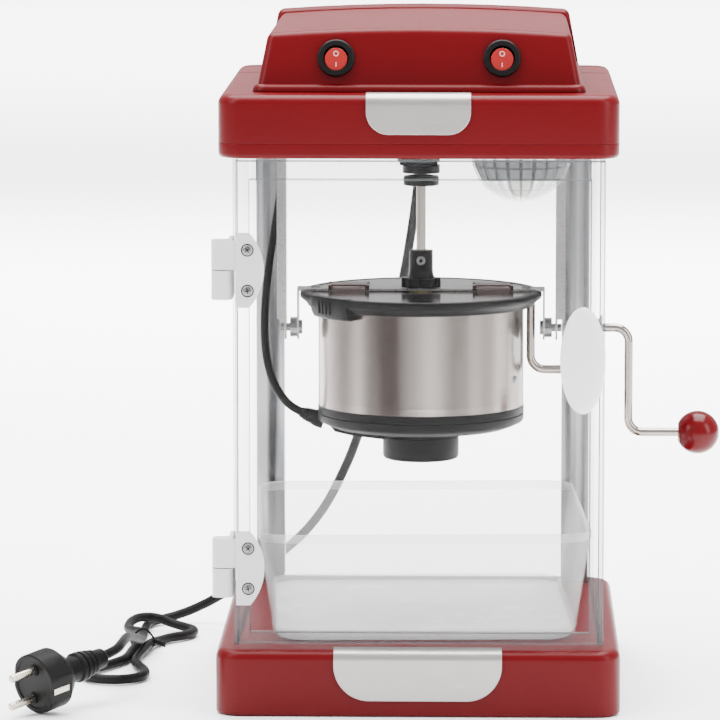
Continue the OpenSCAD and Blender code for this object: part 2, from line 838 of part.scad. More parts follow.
module crank() {
    color("silver") {
        wire_z(crank_in_x, crank_z + bend_r, 241);
        wire_bend(crank_in_x + bend_r, crank_z + bend_r, 180);
        wire_x(crank_in_x + bend_r, crank_drop_x - bend_r, crank_z);
        wire_bend(crank_drop_x - bend_r, crank_z + bend_r, 270);
        wire_z(crank_drop_x, crank_z + bend_r, tilt_z - bend_r);
        wire_bend(crank_drop_x + bend_r, tilt_z - bend_r, 90);
        wire_x(crank_drop_x + bend_r, crank_out_x - bend_r, tilt_z);
        wire_bend(crank_out_x - bend_r, tilt_z - bend_r, 0);
        wire_z(crank_out_x, crank_low_z + bend_r, tilt_z - bend_r);
        wire_bend(crank_out_x + bend_r, crank_low_z + bend_r, 180);
        wire_x(crank_out_x + bend_r, ball_x, crank_low_z);
    }
}

module crank_ball() {
    color([0.55, 0.05, 0.08]) translate([ball_x, 0, crank_low_z]) rotate([0, 90, 0])
        rotate_extrude($fn = 96) difference() {
            intersection() {
                circle(r = ball_r);
                translate([crank_d / 2, -12.6]) square([ball_r, 30]);
            }
        }
}

module kettle_boot() {
    color([0.1, 0.1, 0.1]) difference() {
        translate([-62, 0, 165.4]) rotate([0, -70, 0])
            rotate_extrude() polygon([[0, 0], [5.6, 0], [5.6, 6], [4.2, 14], [0, 14]]);
        rotate_extrude($fn = 96) polygon(cover_outline);
    }
}

module kettle_cord() {
    color([0.08, 0.08, 0.08]) sweep_tube(smooth_route(kettle_route, 2), kettle_lead_d, 10);
}

// ---- tray ----

module tray_form(w0, d0, w1, d1, z0, z1, r) {
    hull() {
        for (sx = [-1, 1], sy = [-1, 1]) {
            translate([sx * (w0 / 2 - r), sy * (d0 / 2 - r), z0 + 5])
                cylinder(r = r - 0.6, h = 1, $fn = 48);
            translate([sx * (w0 / 2 - r), sy * (d0 / 2 - r), z0])
                cylinder(r = r - 6, h = 1, $fn = 48);
            translate([sx * (w1 / 2 - r), sy * (d1 / 2 - r), z1 - 1])
                cylinder(r = r, h = 1, $fn = 48);
        }
    }
}

module popcorn_tray() {
    color([0.9, 0.92, 0.94, 0.5]) translate([0, tray_y, 0])
        rotate([0, 0, tray_turn]) difference() {
        tray_form(190, 206, 208, 224, tray_z, tray_top, 20);
        tray_form(186, 202, 204.5, 220.5, tray_z + 2, tray_top + 1, 18);
    }
}

// ---- mains lead ----

module mains_relief() {
    color([0.08, 0.08, 0.08]) translate([exit_x, body_d / 2 - 3, exit_z]) rotate([-90, 0, 0]) difference() {
        union() {
            cylinder(r = 5, h = 3);
            translate([0, 0, 3]) cylinder(r = 7.5, h = 3);
            translate([0, 0, 6]) cylinder(r1 = 5.8, r2 = 4.1, h = relief_l - 3);
        }
        translate([0, 0, 2]) cylinder(r = mains_d / 2, h = 40);
    }
}

module mains_cord() {
    color([0.08, 0.08, 0.08]) sweep_tube(mains_route, mains_d, 8);
}

// The plug's own frame: +Z towards the lead, Y across the two pins.
module plug_frame() {
    translate(plug_at) rotate([0, 0, plug_turn]) rotate([plug_dip, 0, 0])
        rotate([0, plug_roll, 0]) rotate([-90, 0, 0]) children();
}

module mains_plug() {
    color([0.08, 0.08, 0.08]) plug_frame() difference() {
        union() {
            translate([0, 0, -13]) cylinder(r = plug_r, h = 17);
            translate([0, 0, 4]) cylinder(r1 = 18, r2 = 12.5, h = 7);
            translate([0, 0, 8]) cylinder(r1 = 9, r2 = 7.5, h = 26);
            translate([0, 0, 23]) cylinder(r = 9.6, h = 4);
            translate([0, 0, 32]) cylinder(r1 = 7.8, r2 = 6.2, h = 14);
        }
        for (s = [-1, 1]) translate([s * 19.6 - 3.5, -2.8, -14]) cube([7, 5.6, 13]);
        for (s = [-1, 1]) translate([0, s * 9.5, -14]) cylinder(r = 2.4, h = 6);
        translate([0, 0, 44]) cylinder(r = 3.4, h = 4);
    }
}

module plug_pins() {
    color("silver") plug_frame() {
        for (s = [-1, 1]) translate([0, s * 9.5, -32]) {
            cylinder(r = 2.4, h = 24);
            sphere(r = 2.4);
        }
        for (s = [-1, 1]) translate([s * 16.8 - 0.5, -2, -11.5]) cube([1, 4, 10.5]);
    }
}

// A wire tie round the three runs of the bundled lead.
module tie_loop(r) {
    hull() {
        for (x = [-3.6, 3.6]) translate([x, 4.75]) circle(r = r, $fn = 40);
        translate([0, 11.3]) circle(r = r, $fn = 40);
    }
}

module cord_tie() {
    color([0.1, 0.08, 0.08]) translate([tie_at[0], tie_at[1], 0]) rotate([90, 0, -6])
        linear_extrude(height = 4, center = true) difference() {
            union() {
                tie_loop(4.7);
                translate([6, 2]) square([7, 7]);
            }
            tie_loop(3.95);
        }
}

// ---- each node ----

base_housing();
base_plate();
base_screws();
feet();
base_badge();
side_panel_left();
side_panel_right();
rear_panel();
rear_posts();
ceiling_plate();
hangers();
crank_bush();
lamp_holder();
lamp_bulb();
lamp_dome();
motor_neck();
gearbox();
stir_motor();
motor_dog();
canopy_ring();
canopy_housing();
canopy_badge();
hood();
hood_rear_cover();
switch_bezels();
rocker_left();
rocker_right();
door_panel();
hinge_leaves();
leaf_screws();
door_grip();
hinge_brackets();
hinge_pins();
kettle_pot();
heater_plate();
kettle_rim();
rim_latch();
kettle_base_cover();
connector_housing();
cross_bar();
cross_bar_screws();
shaft_bush();
pivot_pins();
flap_clips();
flap_front();
flap_rear();
drive_shaft();
stir_hub();
set_screw();
stir_arm();
crank();
crank_ball();
kettle_boot();
kettle_cord();
popcorn_tray();
mains_relief();
mains_cord();
mains_plug();
plug_pins();
cord_tie();
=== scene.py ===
"""Looks of the counter-top popcorn maker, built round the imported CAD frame. Metres, +Z up, door at -Y."""

import math

import bmesh
import bpy
from mathutils import Matrix, Vector


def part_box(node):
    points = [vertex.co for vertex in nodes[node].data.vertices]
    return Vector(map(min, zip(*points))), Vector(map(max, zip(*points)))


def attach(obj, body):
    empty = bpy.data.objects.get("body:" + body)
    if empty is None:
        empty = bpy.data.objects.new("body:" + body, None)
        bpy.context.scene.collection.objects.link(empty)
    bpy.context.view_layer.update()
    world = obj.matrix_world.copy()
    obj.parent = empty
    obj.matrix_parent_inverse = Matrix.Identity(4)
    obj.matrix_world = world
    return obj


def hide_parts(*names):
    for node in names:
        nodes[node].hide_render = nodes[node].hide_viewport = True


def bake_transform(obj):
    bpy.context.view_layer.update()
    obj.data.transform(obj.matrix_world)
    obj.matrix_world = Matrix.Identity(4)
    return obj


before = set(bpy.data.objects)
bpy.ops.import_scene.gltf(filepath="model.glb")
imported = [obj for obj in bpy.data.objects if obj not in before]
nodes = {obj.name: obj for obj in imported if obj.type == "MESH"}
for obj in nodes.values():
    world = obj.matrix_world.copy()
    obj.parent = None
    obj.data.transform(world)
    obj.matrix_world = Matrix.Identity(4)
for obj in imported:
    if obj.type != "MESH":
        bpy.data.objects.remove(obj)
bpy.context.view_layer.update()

MM = 0.001
PI = math.pi


def mm(*v):
    """Millimetres as a vector in metres."""
    return Vector([x * MM for x in v])


# ---- places the pieces share, in millimetres, as in the part's source ----

HOOD_SLOPE = math.radians(10.7)
SWITCH = (51, -110.3, 405.5)
LAMP = (63, -60, 342)
GRIP = (101, -142, 222.7)
HINGE_ZS = (91, 276.5)
PLUG_AT = (-229.5, -128, 20.8)
PLUG_TURN, PLUG_DIP, PLUG_ROLL = (math.radians(a) for a in (-43, 9, 12))
TRAY_TURN = math.radians(2.5)
TRAY_Y = -3
TIE_AT = (-184.6, 74, 0)
TIE_TURN = math.radians(-6)
BOOT_AT = (-62, 0, 165.4)
BOOT_LEAN = math.radians(-70)
LEAF_SCREW_X = -105
LEAF_SCREW_DZ = 12.6
LEAF_FRONT_Y = -131
SET_SCREW_AT = (0, -3, 269.5)
PIN_Y = 9.5
POT_R = 65.7
LATCH_START, LATCH_SPAN = math.radians(205), math.radians(28)


# ---- camera and light ----

CAMERA_AT = (0.0403, -3.1799, 0.6121)
CAMERA_PITCH = math.radians(7.3)
CAMERA_YAW = math.radians(1.43)
CAMERA_LENS = 250.0


def make_camera():
    cam = bpy.data.objects.new("camera", bpy.data.cameras.new("camera"))
    bpy.context.scene.collection.objects.link(cam)
    cam.location = CAMERA_AT
    cam.rotation_euler = (PI / 2 - CAMERA_PITCH, 0, CAMERA_YAW)
    cam.data.sensor_width = 36
    cam.data.lens = CAMERA_LENS
    cam.data.clip_start, cam.data.clip_end = 0.1, 30
    bpy.context.scene.camera = cam


def area_light(name, at, target, size, power, tint=(1, 1, 1)):
    data = bpy.data.lights.new(name, "AREA")
    data.shape, data.size, data.size_y = "RECTANGLE", size[0], size[1]
    data.energy, data.color = power, tint
    o = bpy.data.objects.new(name, data)
    bpy.context.scene.collection.objects.link(o)
    o.location = at
    o.rotation_euler = (Vector(target) - Vector(at)).to_track_quat("-Z", "Y").to_euler()
    return o


def make_lights():
    middle = (0, 0, 0.22)
    area_light("key", (-1.5, -1.0, 1.5), middle, (0.7, 1.5), 26)
    area_light("fill", (1.6, -0.9, 0.9), middle, (0.6, 1.5), 20)
    area_light("top", (0, 0.2, 2.0), middle, (2.2, 1.8), 190)
    back = area_light("back", (0, 2.4, 1.3), (0, 1.2, 0), (3.0, 1.2), 260)
    far = area_light("far", (0, 6.5, 3.0), (0, 6.0, 0), (7.0, 4.0), 1500)
    back.visible_glossy = far.visible_glossy = False
    world = bpy.data.worlds.new("studio")
    bpy.context.scene.world = world
    world.use_nodes = True
    sky = world.node_tree.nodes["Background"]
    sky.inputs["Color"].default_value = (1, 1, 1, 1)
    sky.inputs["Strength"].default_value = 1.0


make_camera()
make_lights()


# ---- materials ----


class Graph:
    """A material's node tree, with short calls to add and link nodes."""

    def __init__(self, name, soft=0.0):
        self.soft = soft
        self.mat = bpy.data.materials.new(name)
        self.mat.use_nodes = True
        self.tree = self.mat.node_tree
        self.shader = self.tree.nodes["Principled BSDF"]
        self.coords = self.tree.nodes.new("ShaderNodeTexCoord")

    def link(self, out, socket):
        self.tree.links.new(out, socket)

    def noise(self, scale, stretch=(1, 1, 1), detail=3.0, rough=0.5):
        """Noise in the piece's own coordinates, in features per metre."""
        at = self.tree.nodes.new("ShaderNodeMapping")
        at.inputs["Scale"].default_value = stretch
        self.link(self.coords.outputs["Object"], at.inputs["Vector"])
        n = self.tree.nodes.new("ShaderNodeTexNoise")
        n.inputs["Scale"].default_value = scale
        n.inputs["Detail"].default_value = detail
        n.inputs["Roughness"].default_value = rough
        self.link(at.outputs["Vector"], n.inputs["Vector"])
        return n.outputs["Fac"]

    def ramp(self, fac, low, high, start=0.3, end=0.7):
        r = self.tree.nodes.new("ShaderNodeValToRGB")
        r.color_ramp.elements[0].position, r.color_ramp.elements[1].position = start, end
        r.color_ramp.elements[0].color = (*low, 1)
        r.color_ramp.elements[1].color = (*high, 1)
        self.link(fac, r.inputs["Fac"])
        return r.outputs["Color"]

    def spread(self, fac, low, high):
        m = self.tree.nodes.new("ShaderNodeMapRange")
        m.inputs["From Min"].default_value, m.inputs["From Max"].default_value = 0.25, 0.75
        m.inputs["To Min"].default_value, m.inputs["To Max"].default_value = low, high
        self.link(fac, m.inputs["Value"])
        return m.outputs["Result"]

    def bump(self, height, distance, strength=1.0):
        b = self.tree.nodes.new("ShaderNodeBump")
        b.inputs["Distance"].default_value = distance
        b.inputs["Strength"].default_value = strength
        self.link(height, b.inputs["Height"])
        if self.soft:
            edge = self.tree.nodes.new("ShaderNodeBevel")
            edge.samples = 4
            edge.inputs["Radius"].default_value = self.soft
            self.link(edge.outputs["Normal"], b.inputs["Normal"])
        self.link(b.outputs["Normal"], self.shader.inputs["Normal"])


def shade(color, f):
    return tuple(min(1, c * f) for c in color)


def surface(name, color, rough, metal=0.0, vary=0.06, grain=260, stretch=(1, 1, 1), depth=0.00002,
            rough_vary=0.25, soft=0.0004, **sockets):
    """A moulded, painted or machined surface: colour and gloss wander slightly, with a fine relief."""
    g = Graph(name, soft)
    g.shader.inputs["Metallic"].default_value = metal
    for socket, value in sockets.items():
        g.shader.inputs[socket.replace("_", " ")].default_value = value
    broad = g.noise(18, stretch, 2.0)
    fine = g.noise(grain, stretch, 4.0, 0.6)
    g.link(g.ramp(broad, shade(color, 1 - vary), shade(color, 1 + vary)), g.shader.inputs["Base Color"])
    g.link(g.spread(fine, rough * (1 - rough_vary), rough * (1 + rough_vary)), g.shader.inputs["Roughness"])
    g.bump(fine, depth)
    return g.mat


def clear(name, color, alpha, rough=0.04, depth=0.00001):
    """A clear sheet: see-through, glossy, with faint smears in its gloss."""
    g = Graph(name)
    g.shader.inputs["Alpha"].default_value = alpha
    g.shader.inputs["IOR"].default_value = 1.49
    smears = g.noise(30, (1, 1, 0.35), 4.0, 0.6)
    g.link(g.ramp(smears, shade(color, 0.97), shade(color, 1.0)), g.shader.inputs["Base Color"])
    g.link(g.spread(smears, rough * 0.6, rough * 1.6), g.shader.inputs["Roughness"])
    g.bump(smears, depth)
    return g.mat


RED = (0.088, 0.0008, 0.0026)
MATS = {
    "red": surface("red_plastic", RED, 0.32, vary=0.03, grain=90, depth=0.000001, soft=0.0,
                   rough_vary=0.04,
                   Specular_IOR_Level=0.13),
    "badge": surface("badge_metal", (0.4, 0.385, 0.375), 0.34, 0.85, 0.03, 900, (0.06, 1, 1), 0.000006,
                     soft=0.001),
    "badge_edge": surface("badge_bright_edge", (0.75, 0.74, 0.73), 0.25, 0.9, 0.03, 900, soft=0.0),
    "base_under": surface("under_plastic", (0.03, 0.03, 0.03), 0.6),
    "rubber": surface("black_rubber", (0.008, 0.008, 0.008), 0.6, vary=0.12, grain=700,
                      Specular_IOR_Level=0.12),
    "cord": surface("cord_sheath", (0.006, 0.006, 0.006), 0.5, vary=0.1, grain=900, depth=0.00001,
                    Specular_IOR_Level=0.1),
    "black": surface("black_plastic", (0.006, 0.0055, 0.0055), 0.36, vary=0.1, grain=800, depth=0.00002,
                     Specular_IOR_Level=0.11),
    "black_satin": surface("black_satin", (0.006, 0.0055, 0.0055), 0.42, vary=0.1, grain=900,
                           depth=0.00003, Specular_IOR_Level=0.1),
    "plug": surface("plug_moulding", (0.005, 0.005, 0.005), 0.45, vary=0.1, grain=1200, depth=0.00003,
                    Specular_IOR_Level=0.1),
    "white": surface("white_plastic", (0.56, 0.56, 0.575), 0.32, vary=0.02, grain=500, depth=0.00001),
    "grip": surface("white_gloss", (0.8, 0.8, 0.8), 0.2, vary=0.015, grain=400, depth=0.000008),
    "strip": surface("steel_strip", (0.3, 0.29, 0.285), 0.3, 1.0, 0.05, 1300, (1, 0.05, 1), 0.000006),
    "chrome": surface("bright_wire", (0.36, 0.32, 0.29), 0.14, 1.0, 0.05, 900, (1, 1, 1), 0.000004),
    "screw": surface("screw_metal", (0.2, 0.2, 0.2), 0.3, 1.0, 0.1, 1500, soft=0.0),
    "ceiling": surface("ceiling_sheet", (0.5, 0.5, 0.5), 0.35, 0.8, 0.05, 900, (0.05, 1, 1)),
    "brass": surface("brass", (0.5, 0.38, 0.16), 0.3, 1.0, 0.1, 900),
    "pins": surface("nickel_pins", (0.55, 0.5, 0.42), 0.25, 1.0, 0.08, 900),
    "aluminium": surface("cast_aluminium", (0.45, 0.45, 0.45), 0.5, 0.9, 0.1, 700, depth=0.00008),
    "flap": surface("polished_flap", (0.16, 0.125, 0.12), 0.16, 1.0, 0.1, 700, (0.1, 1, 1), 0.000004),
    "clip": surface("clip_plastic", (0.035, 0.008, 0.008), 0.35, vary=0.15, grain=900),
    "ball": surface("red_ball", (0.088, 0.0008, 0.0026), 0.2, vary=0.04, grain=300, depth=0.000002, soft=0.0,
                    Specular_IOR_Level=0.2),
    "rocker": surface("red_lens", (0.3, 0.004, 0.004), 0.16, vary=0.05, grain=500, depth=0.00001),
    "mark": surface("white_mark", (0.8, 0.62, 0.6), 0.5),
    "panel": clear("clear_panel", (0.36, 0.37, 0.37), 0.05),
    "door": clear("door_panel", (0.25, 0.26, 0.26), 0.013),
    "edge": clear("panel_edge", (0.3, 0.32, 0.33), 0.1, 0.12),
    # Dark lines along the clear sheets' edges and corners: painted shade.
    "edge_painted_shade": clear("panel_edge_line", (0.13, 0.14, 0.15), 0.6, 0.12),
    "tray": clear("tray_plastic", (0.85, 0.86, 0.87), 0.13, 0.16),
    "tray_line": clear("tray_rim", (0.85, 0.86, 0.87), 0.34, 0.16),
    "tray_floor": clear("tray_floor", (0.96, 0.96, 0.96), 0.62, 0.2),
    "dome": clear("dome_glass", (0.75, 0.77, 0.79), 0.12, 0.05),
    # Dark lines on the lamp dome: painted shade.
    "dome_painted_shade": clear("dome_painted_shade", (0.05, 0.055, 0.06), 0.38, 0.08),
    "bulb": surface("bulb_glass", (0.9, 0.88, 0.82), 0.3, vary=0.02),
    "floor": surface("floor", (0.93, 0.93, 0.93), 0.7, vary=0.008, grain=60, depth=0.0, soft=0.0),
}


def steel_painted_reflections(name, dark, light, across, rough, fine=1600):
    """Bright rolled steel: long soft upright reflections painted into its colour, over a fine brushed grain.
    """
    g = Graph(name, 0.0004)
    g.shader.inputs["Metallic"].default_value = 1.0
    broad = g.noise(across, (1, 1, 0.02), 1.5, 0.45)
    brush = g.noise(fine, (1, 1, 0.02), 3.0, 0.6)
    # The dark-to-light upright bands in the base colour are painted reflections of the room, not streaks in
    # the steel.
    g.link(g.ramp(broad, dark, light, 0.34, 0.64), g.shader.inputs["Base Color"])
    g.link(g.spread(brush, rough * 0.75, rough * 1.3), g.shader.inputs["Roughness"])
    g.bump(brush, 0.000002)
    return g.mat


# The pot's steel: upright painted reflections in its colour.
MATS["steel"] = steel_painted_reflections("brushed_steel_painted_reflections", (0.045, 0.036, 0.033), (0.36, 0.32, 0.3), 32, 0.22, 3200)
# The rear posts: the same upright painted reflections in their colour.
MATS["post"] = steel_painted_reflections("bright_post_painted_reflections", (0.05, 0.05, 0.053), (0.42, 0.42, 0.43), 170, 0.2)
MATS["arm"] = surface("stirrer_steel", (0.45, 0.44, 0.43), 0.25, 1.0, 0.05, 900)

PAINT = {
    "red": ["base_housing", "canopy_ring", "canopy_housing", "hood", "hood_rear_cover"],
    "base_under": ["base_plate"],
    "rubber": ["feet", "kettle_boot", "mains_relief"],
    "badge": ["base_badge", "canopy_badge"],
    "panel": ["side_panel_left", "side_panel_right", "rear_panel"],
    "door": ["door_panel"],
    "post": ["rear_posts"],
    "ceiling": ["ceiling_plate"],
    "strip": ["hangers", "cross_bar"],
    "white": ["crank_bush", "lamp_holder", "hinge_leaves", "hinge_brackets"],
    "grip": ["door_grip"],
    "bulb": ["lamp_bulb"],
    "dome": ["lamp_dome"],
    "black": ["motor_neck", "motor_dog", "kettle_rim", "rim_latch", "stir_hub", "switch_bezels"],
    "black_satin": ["kettle_base_cover", "connector_housing", "cord_tie"],
    "screw": ["base_screws", "leaf_screws", "cross_bar_screws", "set_screw", "pivot_pins", "hinge_pins"],
    "aluminium": ["gearbox", "stir_motor", "heater_plate"],
    "steel": ["kettle_pot"],
    "arm": ["stir_arm"],
    "chrome": ["drive_shaft", "crank"],
    "brass": ["shaft_bush"],
    "clip": ["flap_clips"],
    "flap": ["flap_front", "flap_rear"],
    "ball": ["crank_ball"],
    "rocker": ["rocker_left", "rocker_right"],
    "tray": ["popcorn_tray"],
    "cord": ["kettle_cord", "mains_cord"],
    "plug": ["mains_plug"],
    "pins": ["plug_pins"],
}
for key, names in PAINT.items():
    for n in names:
        nodes[n].data.materials.clear()
        nodes[n].data.materials.append(MATS[key])


# ---- shapes ----


def finish_mesh(name, bm, mat, smooth=True, sharp=35):
    mesh = bpy.data.meshes.new(name)
    bmesh.ops.recalc_face_normals(bm, faces=bm.faces)
    for e in bm.edges:
        e.smooth = len(e.link_faces) != 2 or e.calc_face_angle(0) < math.radians(sharp)
    for f in bm.faces:
        f.smooth = smooth
    bm.to_mesh(mesh)
    bm.free()
    mesh.materials.append(mat)
    o = bpy.data.objects.new(name, mesh)
    bpy.context.scene.collection.objects.link(o)
    return o


def curve_tube(name, points, radius, mat, resolution=4, sides=5):
    """A tube on a smooth curve through the points."""
    c = bpy.data.curves.new(name, "CURVE")
    c.dimensions = "3D"
    c.bevel_depth, c.bevel_resolution = radius, sides
    c.use_fill_caps = True
    c.resolution_u = resolution
    s = c.splines.new("BEZIER")
    s.bezier_points.add(len(points) - 1)
    for b, p in zip(s.bezier_points, points):
        b.co = p
        b.handle_left_type = b.handle_right_type = "AUTO"
    c.materials.append(mat)
    o = bpy.data.objects.new(name, c)
    bpy.context.scene.collection.objects.link(o)
    return o


def ring_points(w, d, r, z, steps=10):
    """A rounded rectangle round the origin, in millimetres, as points in metres."""
    points = []
    for k, (sx, sy) in enumerate(((1, 1), (-1, 1), (-1, -1), (1, -1))):
        for i in range(steps + 1):
            a = PI / 2 * (k + i / steps)
            points.append(mm(sx * (w / 2 - r) + r * math.cos(a), sy * (d / 2 - r) + r * math.sin(a), z))
    return points


def loft(name, loops, mats, slots=None, cap_first=False, cap_last=False, join_ends=False, sharp=35):
    """A skin over loops of equal length; slots gives the material slot of each band."""
    bm = bmesh.new()
    rows = [[bm.verts.new(p) for p in loop] for loop in loops]
    pairs = list(zip(rows, rows[1:])) + ([(rows[-1], rows[0])] if join_ends else [])
    for band, (a, b) in enumerate(pairs):
        for k in range(len(a)):
            f = bm.faces.new((a[k], a[(k + 1) % len(a)], b[(k + 1) % len(a)], b[k]))
            f.material_index = slots[band] if slots else 0
    if cap_first:
        bm.faces.new(rows[0][::-1])
    if cap_last:
        bm.faces.new(rows[-1])
    o = finish_mesh(name, bm, mats[0], sharp=sharp)
    for extra in mats[1:]:
        o.data.materials.append(extra)
    return o


def lathe(name, profile, mats, slots=None, sides=96, ripple=None, closed=False, sharp=35):
    """A turned shape about Z: profile rows are radius and height; ripple shapes the radius by angle."""
    loops = []
    for r, z in profile:
        loop = []
        for k in range(sides):
            a = 2 * PI * k / sides
            f = ripple(a, r, z) if ripple else 1
            loop.append(mm(max(r, 0.01) * f * math.cos(a), max(r, 0.01) * f * math.sin(a), z))
        loops.append(loop)
    return loft(name, loops, mats, slots, join_ends=closed, sharp=sharp)


def slabs(name, rows, mats, soft=0.4):
    """Soft-edged boxes in one mesh: each row is x0, x1, y0, y1, z0, z1 and a material slot."""
    bm = bmesh.new()
    for x0, x1, y0, y1, z0, z1, slot in rows:
        made = bmesh.ops.create_cube(bm, size=1.0)["verts"]
        bmesh.ops.scale(bm, vec=mm(x1 - x0, y1 - y0, z1 - z0), verts=made)
        bmesh.ops.translate(bm, vec=mm((x0 + x1) / 2, (y0 + y1) / 2, (z0 + z1) / 2), verts=made)
        for f in {f for v in made for f in v.link_faces}:
            f.material_index = slot
        edges = {e for v in made for e in v.link_edges}
        width = min(soft, 0.3 * min(x1 - x0, y1 - y0, z1 - z0)) * MM
        bmesh.ops.bevel(bm, geom=list(edges), offset=width, segments=2, affect="EDGES", profile=0.6)
    o = finish_mesh(name, bm, mats[0], sharp=50)
    for extra in mats[1:]:
        o.data.materials.append(extra)
    return o


def soft_copy(node, mat, sharp=38):
    """The CAD piece's own shape with smooth shading across its shallow edges."""
    bm = bmesh.new()
    bm.from_mesh(nodes[node].data)
    bm.transform(nodes[node].matrix_world)
    bmesh.ops.remove_doubles(bm, verts=bm.verts, dist=0.000005)
    bmesh.ops.dissolve_limit(bm, angle_limit=math.radians(0.6), verts=bm.verts, edges=bm.edges)
    return finish_mesh("soft_" + node, bm, mat, sharp=sharp)


def settle(o, body, *replaced, slot=None):
    """Give the piece its body, and the CAD pieces it stands for."""
    if replaced:
        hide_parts(*replaced)
    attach(o, body)
    return o


def place(o, matrix):
    o.data.transform(matrix)
    return o


def at_mm(*v):
    return Matrix.Translation(mm(*v))


# ---- leads ----

MAINS_ROUTE = [
    (-3, 141, 366), (-3, 152, 366), (-3, 166, 366), (-2.5, 180, 362), (-2, 191, 352),
    (-2, 197, 337), (-3, 199, 318), (-5.5, 198, 294), (-10, 195, 262), (-17, 191, 225),
    (-29, 187, 180), (-41.5, 184, 140), (-55, 182, 105), (-74, 181, 72), (-102, 181, 45),
    (-130, 181, 25), (-152, 182, 12), (-169, 180.5, 5.4), (-180, 174.5, 3.4), (-186, 164, 3.2),
    (-187.5, 149, 3.2), (-187.5, 130, 3.2), (-188, 110, 3.4), (-188, 90, 4.4), (-188, 74.5, 4.7),
    (-190.5, 55, 4.2), (-193, 35, 3.2), (-197.5, 21.5, 3.2), (-204, 9, 3.2), (-211, -3.5, 3.2),
    (-215.5, -17, 3.2), (-214, -27, 3.2), (-208, -35.6, 3.2), (-199, -39, 3.2), (-189, -38, 3.2),
    (-181.5, -32.4, 3.2), (-177.5, -23, 3.2), (-178, -8.5, 3.2), (-182, 5.5, 3.2),
    (-185.5, 19.5, 3.2), (-186, 34, 3.2), (-183.5, 54, 4.2), (-181, 73.5, 4.7), (-179, 86, 4.2),
    (-175, 98, 3.2), (-168.5, 108.5, 3.2), (-160, 117, 3.2), (-155, 126.5, 3.2), (-155, 137.5, 3.2),
    (-160.5, 147, 3.2), (-170, 152.3, 5), (-181, 152.3, 8.8), (-190, 147, 10), (-195.5, 137.5, 9.6),
    (-197.5, 125, 8.6), (-196.5, 111, 8.4), (-192, 97, 10), (-187, 86, 11.2), (-184.8, 76, 11.3),
    (-184.4, 66, 11.5), (-184.5, 50, 13), (-186, 25, 18), (-187.5, 0, 23.5), (-188, -25, 28),
    (-188.5, -51, 30.2), (-189, -65, 30.8), (-190.5, -78, 30.5), (-194.5, -86.6, 29.4),
    (-199.5, -92.6, 28),
]
KETTLE_ROUTE = [
    (-90, 36, 341), (-90, 36, 330), (-91, 35, 312), (-95, 32, 286), (-99, 28, 258), (-101, 22, 232),
    (-100, 14, 208), (-95, 6, 190), (-86, 1, 177), (-76.2, 0, 170.6),
]
MAINS_D = 6.2 * MM
KETTLE_D = 5.4 * MM


def make_leads(ends):
    route = [mm(*p) for p in MAINS_ROUTE]
    lead = curve_tube("mains_lead", route, MAINS_D / 2, MATS["cord"], 5)
    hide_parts("mains_cord")
    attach(lead, "frame")


def smooth_path(points, steps):
    """A Catmull-Rom curve through the points."""
    out = []
    for i in range(len(points) - 1):
        a, b = points[max(i - 1, 0)], points[i]
        c, d = points[i + 1], points[min(i + 2, len(points) - 1)]
        for s in range(steps):
            u = s / steps
            out.append(0.5 * (2 * b + (c - a) * u + (2 * a - 5 * b + 4 * c - d) * u * u
                              + (3 * b - a - 3 * c + d) * u ** 3))
    return out + [points[-1]]


def tube_mesh(name, path, radius, mat, sides=18):
    """A tube of rings along the path, carried round without twist."""
    loops, side = [], Vector((1, 0, 0))
    for i, p in enumerate(path):
        t = (path[min(i + 1, len(path) - 1)] - path[max(i - 1, 0)]).normalized()
        side = (side - t * side.dot(t)).normalized()
        up = t.cross(side)
        loops.append([p + radius * (math.cos(a) * side + math.sin(a) * up)
                      for a in (2 * PI * k / sides for k in range(sides))])
    return loft(name, loops, [mat], cap_first=True, cap_last=True)


def make_kettle_lead():
    path = smooth_path([mm(*p) for p in KETTLE_ROUTE], 8)
    lead = tube_mesh("kettle_lead", path, KETTLE_D / 2, MATS["cord"])
    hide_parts("kettle_cord")
    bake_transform(lead)


def plug_matrix():
    return (at_mm(*PLUG_AT) @ Matrix.Rotation(PLUG_TURN, 4, "Z") @ Matrix.Rotation(PLUG_DIP, 4, "X")
            @ Matrix.Rotation(PLUG_ROLL, 4, "Y") @ Matrix.Rotation(-PI / 2, 4, "X"))


